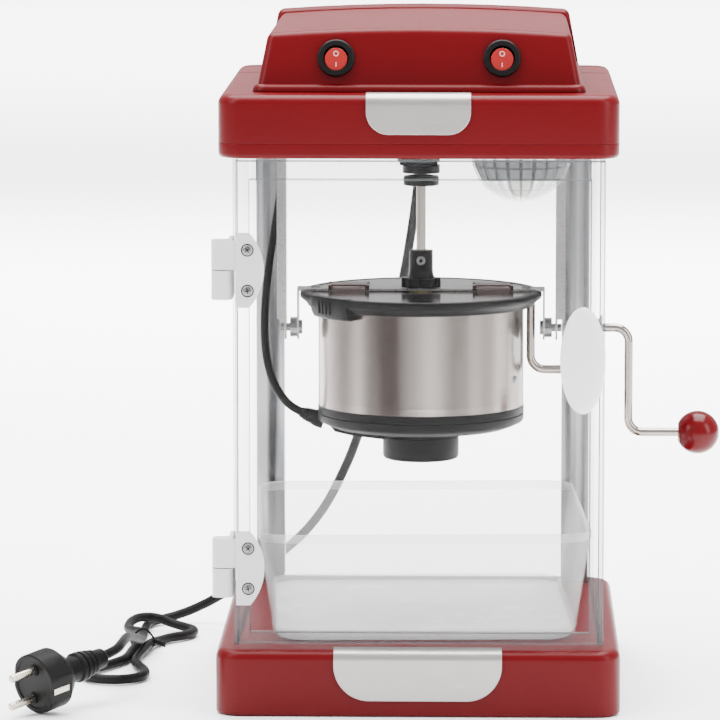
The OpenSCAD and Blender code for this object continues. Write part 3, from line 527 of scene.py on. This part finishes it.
def make_plug():
    """A straight two-pin plug: flats at the earth strips, a waisted body and a stepped neck."""

    def flats(a, r, z):
        if z > 11.5:
            return 1
        return min(1, 16.9 / max(0.01, r * abs(math.cos(a))))

    body = [(0.01, -12.2), (15, -12.2), (16, -13), (18.2, -13), (19, -12.2), (19, 3.4), (18.4, 4.2),
            (17.8, 4.6), (13, 10.6), (12, 11.2), (9.2, 11.8), (8.4, 13.5), (8.2, 21.6), (8.8, 22.2),
            (9.6, 22.8), (9.6, 25.4), (8.4, 25.8), (8.4, 26.6), (9.4, 27), (9.2, 29.6), (8, 30),
            (8, 30.8), (8.7, 31.2), (8.4, 33.6), (7.4, 34), (7.2, 34.8), (7.9, 35.2), (7.5, 37.6),
            (6.8, 38), (6.5, 41), (6.2, 45.2), (5.6, 46), (2.9, 46)]
    plug = lathe("plug_body", body, [MATS["plug"]], sides=120, ripple=flats, sharp=32)
    made = [settle(place(plug, plug_matrix()), "frame", "mains_plug")]
    rows = [(2.4, -8), (2.4, -30.6), (2.2, -31.8), (1.6, -32.4), (0.01, -32.6)]
    for s in (-1, 1):
        pin = lathe("plug_pin", rows, [MATS["pins"]], sides=36)
        pin = place(pin, plug_matrix() @ at_mm(0, s * PIN_Y, 0))
        pin.name = f"plug_pin_{'a' if s < 0 else 'b'}"
        made.append(settle(pin, "frame", *(["plug_pins"] if s < 0 else [])))
        collar = lathe("pin_collar", [(2.5, -13.6), (3.4, -13.4), (3.7, -12.8), (3.7, -12)],
                       [MATS["plug"]], sides=36)
        made.append(settle(place(collar, plug_matrix() @ at_mm(0, s * PIN_Y, 0)), "frame"))
        strip = slabs("earth_strip", [(s * 17.0 - 0.35, s * 17.0 + 0.35, -2, 2, -11, 1.5, 0)],
                      [MATS["pins"]], 0.2)
        made.append(settle(place(strip, plug_matrix()), "frame"))
    return made


def make_tie():
    """A soft wire tie: a thin band round the hank and a twisted pair of tails."""
    turn = at_mm(*TIE_AT) @ Matrix.Rotation(TIE_TURN, 4, "Z")
    ring = []
    for k in range(41):
        a = 2 * PI * k / 40
        w = 7.9 - 3.0 * max(0.0, math.sin(a))
        ring.append(mm(w * math.cos(a), 0.6 * math.sin(2 * a), 7.8 + 7.6 * math.sin(a)))
    band = tube_mesh("tie_band", ring, 0.7 * MM, MATS["plug"], 10)
    made = [settle(place(band, turn), "frame", "cord_tie")]
    for n, flip in enumerate((0, PI)):
        twist = [0.9 * k + flip for k in range(20)]
        tail = [mm(6.6 + 0.42 * k, 1.1 * math.cos(a), 8 - 0.16 * k + 1.1 * math.sin(a))
                for k, a in enumerate(twist)]
        tail = tube_mesh(f"tie_tail_{n}", tail, 0.75 * MM, MATS["plug"], 8)
        made.append(settle(place(tail, turn), "frame"))
    return made


make_leads(make_plug() + make_tie())
make_kettle_lead()


# ---- clear cabinet and door ----


def make_cabinet():
    # Rows in the line slot are thin dark strips of painted shade along the edges and corners.
    sheet, edge, line = 0, 1, 2
    clear_mats = [MATS["panel"], MATS["edge"], MATS["edge_painted_shade"]]
    for side, node in ((-1, "side_panel_left"), (1, "side_panel_right")):
        def row(x0, x1, y0, y1, z0, z1, slot):
            xs = sorted((side * x0, side * x1))
            return (xs[0], xs[1], y0, y1, z0, z1, slot)
        rows = [
            row(112, 114, -117, 126, 41, 346, sheet),
            row(111.5, 114.5, -119.5, -117, 41, 346, edge),
            row(111.4, 112.1, -119.7, -118.9, 41, 346, line),
            row(113.9, 114.6, -119.7, -118.9, 41, 346, line),
            row(111.5, 114.5, 126, 128, 41, 346, edge),
            row(111.5, 114.5, -117, 126, 41, 42.5, edge),
        ]
        settle(slabs("cabinet_" + node, rows, clear_mats), "frame", node)
    rear = [
        (-111.5, -92, 124.9, 125.4, 41, 346, edge), (92, 111.5, 124.9, 125.4, 41, 346, edge),
        (-111.5, 111.5, 125.4, 127.6, 41, 346, sheet),
        (-111.5, 111.5, 125, 128, 41, 42.6, edge),
        (-111.5, -110.3, 125, 128, 41, 346, line),
        (110.3, 111.5, 125, 128, 41, 346, line),
    ]
    settle(slabs("cabinet_rear", rear, clear_mats), "frame", "rear_panel")


def make_door():
    # Rows in the line slot are thin dark strips of painted shade along the edges and corners.
    sheet, edge, line = 0, 1, 2
    lo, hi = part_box("door_panel")
    x0, y0, z0 = (v / MM for v in lo)
    x1, y1, z1 = (v / MM for v in hi)
    rows = [
        (x0 + 1, x1 - 1, y0, y0 + 3, z0 + 1, z1 - 1, sheet),
        (x0, x0 + 9, y0 + 3, y1, z0, z1, edge), (x1 - 9, x1, y0 + 3, y1, z0, z1, edge),
        (x0 + 9, x1 - 9, y0 + 3, y1, z0, z0 + 6, edge),
        (x0 + 9, x1 - 9, y0 + 3, y1, z1 - 12, z1 - 1.4, sheet),
        (x0 + 1, x1 - 1, y0 + 3, y1, z1 - 1.4, z1, edge),
        (x0, x0 + 1, y0, y0 + 3, z0, z1, line), (x1 - 1, x1, y0, y0 + 3, z0, z1, line),
        (x0 + 1, x1 - 1, y0, y0 + 3, z0, z0 + 1, line), (x0 + 1, x1 - 1, y0, y0 + 3, z1 - 1.3, z1, line),
        (x0 + 8.3, x0 + 9.1, y1 - 4, y1, z0 + 6, z1 - 12, line),
        (x1 - 9.1, x1 - 8.3, y1 - 4, y1, z0 + 6, z1 - 12, line),
        (x0 + 9, x1 - 9, y1 - 4, y1, z1 - 13.2, z1 - 12, line),
        (x0 + 9, x1 - 9, y1 - 4, y1, z0 + 6, z0 + 6.8, line),
    ]
    settle(slabs("clear_door", rows, [MATS["door"], MATS["edge"], MATS["edge_painted_shade"]]),
           "door", "door_panel")


make_cabinet()
make_door()


# ---- hood, switches and badges ----


def make_badge(node):
    """A brushed badge with a bright narrow bevel round its outline."""
    bm = bmesh.new()
    bm.from_mesh(nodes[node].data)
    bm.transform(nodes[node].matrix_world)
    bmesh.ops.remove_doubles(bm, verts=bm.verts, dist=0.000005)
    bmesh.ops.dissolve_limit(bm, angle_limit=math.radians(0.6), verts=bm.verts, edges=bm.edges)
    front = min(v.co.y for v in bm.verts) + 0.0002
    rim = [e for e in bm.edges if len(e.link_faces) == 2 and e.calc_face_angle(0) > math.radians(60)
           and all(v.co.y < front for v in e.verts)]
    bmesh.ops.bevel(bm, geom=rim, offset=0.0009, segments=1, affect="EDGES", clamp_overlap=True,
                    material=1)
    o = finish_mesh("shaped_" + node, bm, MATS["badge"], sharp=25)
    o.data.materials.append(MATS["badge_edge"])
    settle(o, "frame", node)


def make_hood():
    make_badge("canopy_badge")
    make_badge("base_badge")
    for node in ("hood", "hood_rear_cover", "canopy_housing", "canopy_ring", "base_housing"):
        settle(soft_copy(node, MATS["red"]), "frame", node)


def switch_matrix(s):
    return at_mm(s * SWITCH[0], SWITCH[1], SWITCH[2]) @ Matrix.Rotation(-HOOD_SLOPE, 4, "X")


def make_switches():
    """The usual O and I on the two halves of each glowing rocker; the dark ring round it is the CAD bezel."""
    rings = []
    for s, body in ((-1, "rocker_left"), (1, "rocker_right")):
        face_on = switch_matrix(s) @ Matrix.Rotation(PI / 2, 4, "X")
        o_mark = lathe("off_mark", [(1.25, 0), (1.25, 0.25), (1.65, 0.25), (1.65, 0)], [MATS["mark"]],
                       sides=28, closed=True)
        bar = slabs("on_mark", [(-0.22, 0.22, -1.4, 1.4, 0, 0.25, 0)], [MATS["mark"]], 0.05)
        lean = Matrix.Rotation(math.radians(7), 4, "X")
        for mark, up in ((o_mark, 3.4), (bar, -3.4)):
            place(mark, switch_matrix(s) @ at_mm(0, 3, 0) @ lean @ at_mm(0, -6.15, up)
                  @ Matrix.Rotation(PI / 2, 4, "X"))
            mark.name = f"{mark.name}_{body}"
            settle(mark, body)


make_hood()
make_switches()


# ---- lamp dome ----


def make_dome():
    """A faceted clear dome: upright ribs crossed by two rings, with darker lines of painted shade along the
    ribs' creases, on the two rings and at the foot.
    """
    ribs = 22

    def ripple(a, r, z):
        return 1 + (0.03 * abs(math.cos(ribs / 2 * a)) - 0.015 if r > 6 else 0)

    rise = 31
    outer = [(rise * math.cos(u), 1.5 - rise * math.sin(u))
             for u in (math.radians(a) for a in (3, 8, 14, 16, 22, 30, 38, 44, 46, 54, 62, 70, 78, 84, 89))]
    inner = [(r * 0.95, 1.5 - (1.5 - z) * 0.95) for r, z in reversed(outer)]
    o = lathe("ribbed_dome", outer + inner, [MATS["dome"], MATS["dome_painted_shade"]], sides=ribs * 8,
              ripple=ripple, sharp=60)
    # Faces along the ribs' creases, at the two rings and at the foot take the dark clear material: painted
    # shade.
    for f in o.data.polygons:
        c = f.center
        a = math.atan2(c.y, c.x)
        height = -c.z / MM
        on_rib = abs(math.cos(ribs / 2 * a)) < 0.3 and math.hypot(c.x, c.y) > 6 * MM
        on_ring = 5.8 < height < 7.2 or 19.8 < height < 21 or height < 0.6
        f.material_index = 1 if on_rib or on_ring else 0
    place(o, at_mm(LAMP[0], LAMP[1], LAMP[2]))
    settle(o, "frame", "lamp_dome")


make_dome()


# ---- kettle ----


def make_pot():
    """The steel pot: a turned wall with a rolled bead low down and a soft-edged floor."""
    wall = [(55, 184.2), (63.6, 184.2), (64.7, 186), (64.7, 246), (65.7, 246), (65.7, 183.4),
            (65.72, 182.4), (65.76, 181.6), (65.72, 180.8), (65.7, 179.8), (65.7, 177), (64.7, 177),
            (64.7, 181), (63.4, 183), (55, 183)]
    pot = lathe("steel_pot", wall, [MATS["steel"]], sides=160, closed=True, sharp=40)
    floor = lathe("steel_pot_floor", [(0.01, 183), (55.2, 183), (55.2, 184.2), (0.01, 184.2)],
                  [MATS["steel"]], sides=96, closed=False)
    settle(pot, "kettle", "kettle_pot")
    settle(floor, "kettle")
    rivets = lathe("pot_rivet", [(0.01, 1.1), (1.2, 1.0), (2.1, 0.6), (2.5, 0), (2.5, -0.5)],
                   [MATS["screw"]], sides=32)
    turn = Matrix.Rotation(math.radians(-24), 4, "Z") @ at_mm(POT_R, 0, 196) @ Matrix.Rotation(PI / 2, 4, "Y")
    settle(place(rivets, turn), "kettle")


def make_shaft():
    """The drive rod, with the dark coupling disc at its head."""
    rod = [(0.01, 190), (2.6, 190), (3, 190.5), (3, 317.2)]
    disc = [(9.6, 317.2), (11.2, 317.6), (11.4, 318.6), (11.4, 322.4), (10.8, 323.4), (8, 323.6),
            (8, 322.6), (0.01, 322.6)]
    slots = [0] * (len(rod) - 1) + [1] * len(disc)
    o = lathe("drive_rod", rod + disc, [MATS["chrome"], MATS["black"]], slots, sides=64)
    settle(o, "stirrer", "drive_shaft")


def make_boot():
    """The ribbed boot where the kettle's lead enters the cover."""
    rings = [(0.01, 0), (5.6, 0), (5.6, 5.4), (5.3, 5.9)]
    for k in range(4):
        z = 6.4 + 1.9 * k
        r = 5.2 - 0.26 * k
        rings += [(r, z), (r, z + 1.1), (r - 0.7, z + 1.3), (r - 0.7, z + 1.7)]
    rings += [(3.6, 14), (3.3, 16), (2.72, 16.3)]
    o = lathe("kettle_lead_boot", rings, [MATS["rubber"]], sides=48)
    lean = Matrix.Rotation(BOOT_LEAN, 4, "Y")
    settle(place(o, at_mm(*BOOT_AT) @ lean), "kettle", "kettle_boot")


def make_grip():
    """A domed oval grip with a softly turned edge on a short stem."""
    rows = [(0.02, -1.0), (0.3, -0.97), (0.55, -0.86), (0.75, -0.7), (0.88, -0.5), (0.96, -0.26),
            (1.0, -0.04), (1.0, 0.1), (0.97, 0.26), (0.9, 0.36), (0.6, 0.42), (0.02, 0.44)]
    o = lathe("oval_grip", [(33 * r, 33 * z) for r, z in rows], [MATS["grip"]], sides=96)
    shape = Matrix.Diagonal((14 / 33, 6.5 / 33, 1, 1)) @ Matrix.Rotation(-PI / 2, 4, "X")
    settle(place(o, at_mm(*GRIP) @ shape), "door", "door_grip")
    stem = lathe("grip_stem", [(5.6, 0), (5.0, 1.2), (5.0, 10.5), (6.2, 12), (6.2, 14), (0.01, 14)],
                 [MATS["grip"]], sides=48)
    settle(place(stem, at_mm(*GRIP) @ Matrix.Rotation(-PI / 2, 4, "X")), "door")


def make_rim():
    """The dark rim: a rolled outer lip, a step for the flaps and a thin inner land."""
    rows = [(60, 246), (60, 248), (71, 248), (71.3, 250), (75.2, 250), (76.4, 249.7), (77.2, 248.8),
            (77.4, 247.4), (77.2, 246.2), (76.2, 245.2), (74, 243.6), (72.9, 242), (72.6, 241.2),
            (72, 241), (65.8, 241), (65.8, 246)]
    settle(lathe("kettle_rim_ring", rows, [MATS["black"]], sides=160, closed=True, sharp=40),
           "kettle", "kettle_rim")


def make_cover():
    """The dark cover under the pot, with a seam and a round socket housing below it."""
    rows = [(0.01, 161.5), (29.6, 161.5), (30.4, 160.9), (33, 160.5), (46, 161.4), (56.6, 162.8),
            (57.4, 163.4), (61, 164.5), (65, 166.4), (65.8, 167.4), (66, 168.6), (66, 171.4),
            (65.4, 171.7), (65.4, 172.1), (66, 172.4), (66, 176.6), (65.6, 177), (62, 177),
            (62, 169), (0.01, 164)]
    settle(lathe("pot_cover", rows, [MATS["black_satin"]], sides=160, sharp=40),
           "kettle", "kettle_base_cover")
    rows = [(0.01, 141.6), (8, 141.6), (8.4, 142.4), (12, 142.4), (12.4, 141.6), (22, 141.6),
            (23.6, 142.2), (24.4, 143.8), (24.4, 156), (24, 156.4), (24, 156.9), (24.4, 157.3),
            (24.4, 161.5)]
    settle(lathe("socket_housing", rows, [MATS["black_satin"]], sides=96, sharp=40),
           "kettle", "connector_housing")
    side = [(-58, 163.5), (-55, 159.5), (-44, 157), (-23, 154.5), (-23, 163)]
    loops = []
    for y, shrink in ((-11, 1.2), (-10, 0), (10, 0), (11, 1.2)):
        loops.append([mm(x, y, min(z + (shrink if z < 163 else 0), 163.5)) for x, z in side])
    channel = loft("lead_channel", loops, [MATS["black_satin"]], cap_first=True, cap_last=True)
    settle(channel, "kettle")


def make_latch():
    """The catch on the rim: a block wrapped round the lip over a short arc."""
    row = [(66, 236.6), (73.6, 236.4), (75.8, 237.4), (77.7, 241.5), (78, 247.6), (76.9, 250.4),
           (72.4, 250.5), (72.2, 246), (66, 246)]
    loops = []
    steps = 14
    for k in range(steps + 1):
        a = LATCH_START + LATCH_SPAN * k / steps
        f = 0.985 if k in (0, steps) else 1
        loops.append([mm(r * f * math.cos(a), r * f * math.sin(a), z) for r, z in row])
    settle(loft("rim_catch", loops, [MATS["black"]], cap_first=True, cap_last=True, sharp=30),
           "kettle", "rim_latch")
    grip = Matrix.Rotation(math.radians(219), 4, "Z")
    for k in range(4):
        rib = slabs("catch_rib", [(77.2, 78.4, -6 + 3.6 * k, -5 + 3.6 * k, 240, 248, 0)],
                    [MATS["black"]], 0.3)
        settle(place(rib, grip), "kettle")


def make_screws():
    """Cross-head screws on the hinge leaves, and the hub's hollow set screw; the black crosses, the black
    rings round the heads and the black inside of the hollow are painted shade.
    """
    head = [(1.5, 5), (1.5, -0.1), (3.0, -0.1), (3.0, -0.6), (2.5, -1.05), (1.6, -1.25), (0.01, -1.3)]
    made = []
    for z in HINGE_ZS:
        for s in (-1, 1):
            at = at_mm(LEAF_SCREW_X, LEAF_FRONT_Y, z + s * LEAF_SCREW_DZ) @ Matrix.Rotation(-PI / 2, 4, "X")
            made.append(place(lathe("leaf_screw", head, [MATS["screw"]], sides=36), at))
            # A black cross on each head: painted shade for the cross recess.
            cross = slabs("screw_cross_painted_shade", [(-1.7, 1.7, -0.3, 0.3, -1.4, -1.1, 0),
                                          (-0.3, 0.3, -1.7, 1.7, -1.4, -1.1, 0)], [MATS["plug"]], 0.05)
            made.append(place(cross, at @ Matrix.Rotation(math.radians(20 + 31 * s), 4, "Z")))
            # A black ring round each head: painted shade in the gap round the screw.
            well = lathe("screw_well_painted_shade", [(3.2, 0), (3.7, -0.12), (4.0, -0.02)], [MATS["plug"]], sides=36)
            made.append(place(well, at))
    settle(made[0], "door", "leaf_screws")
    for o in made[1:]:
        settle(o, "door")
    rows = [(0.01, 5.0), (1.1, 5.0), (1.25, 6.1), (1.7, 6.4), (2.5, 6.3), (2.9, 5.8), (2.9, 4.7), (2, 4.7),
            (2, 0)]
    # The floor and wall of the hollow are black: painted shade inside the socket.
    screw = lathe("hub_set_screw", rows, [MATS["screw"], MATS["plug"]], [1, 1, 0, 0, 0, 0, 0, 0], 36)
    place(screw, at_mm(*SET_SCREW_AT) @ Matrix.Rotation(PI / 2, 4, "X"))
    settle(screw, "stirrer", "set_screw")


make_latch()
make_screws()
def make_neck():
    """The dark block that comes down through the ceiling round the motor's shaft."""
    rows = [(-15, 12, -13, 13, 333, 346, 0), (-13.6, 10.6, -11.6, 11.6, 330.9, 333.2, 0)]
    settle(slabs("drive_neck", rows, [MATS["black"]], 0.8), "frame", "motor_neck")


make_neck()
make_pot()
make_shaft()
make_boot()
make_grip()
make_rim()
make_cover()


# ---- tray ----


def make_tray():
    """A thin moulded tray: drafted walls, large corner radii and a rolled lip."""
    inside = [(168, 184, 14, 43), (180, 196, 17, 43.3), (186, 202, 18, 45), (188.6, 204.6, 18.4, 49),
              (203.6, 219.6, 18.2, 104), (204.4, 220.4, 18.2, 109.4)]
    lip = [(205.4, 221.4, 18.6, 110), (207.4, 223.4, 19.6, 110), (208, 224, 20, 109.2),
           (208, 224, 20, 105.4), (207.2, 223.2, 19.6, 104.6), (206, 222, 19, 104.4)]
    outside = [(191, 207, 20, 49), (188.6, 204.6, 19, 44), (183, 199, 17, 41.6), (176, 192, 15, 41.1),
               (168, 184, 14, 41.1)]
    loops = [ring_points(*row) for row in inside + lip + outside]
    slots = [2, 2, 1, 0, 0, 1, 1, 1, 1, 1, 1, 0, 1, 1, 2, 2]
    o = loft("clear_tray", loops, [MATS["tray"], MATS["tray_line"], MATS["tray_floor"]], slots,
             cap_first=True, cap_last=True, sharp=60)
    for f in o.data.polygons:
        if len(f.vertices) > 4:
            f.material_index = 2
    place(o, at_mm(0, TRAY_Y, 0) @ Matrix.Rotation(TRAY_TURN, 4, "Z"))
    settle(o, "tray", "popcorn_tray")


make_tray()


# ---- floor ----

def make_floor():
    bm = bmesh.new()
    bmesh.ops.create_grid(bm, x_segments=4, y_segments=4, size=8)
    o = finish_mesh("floor", bm, MATS["floor"])
    o.location.z = -0.0004


make_floor()
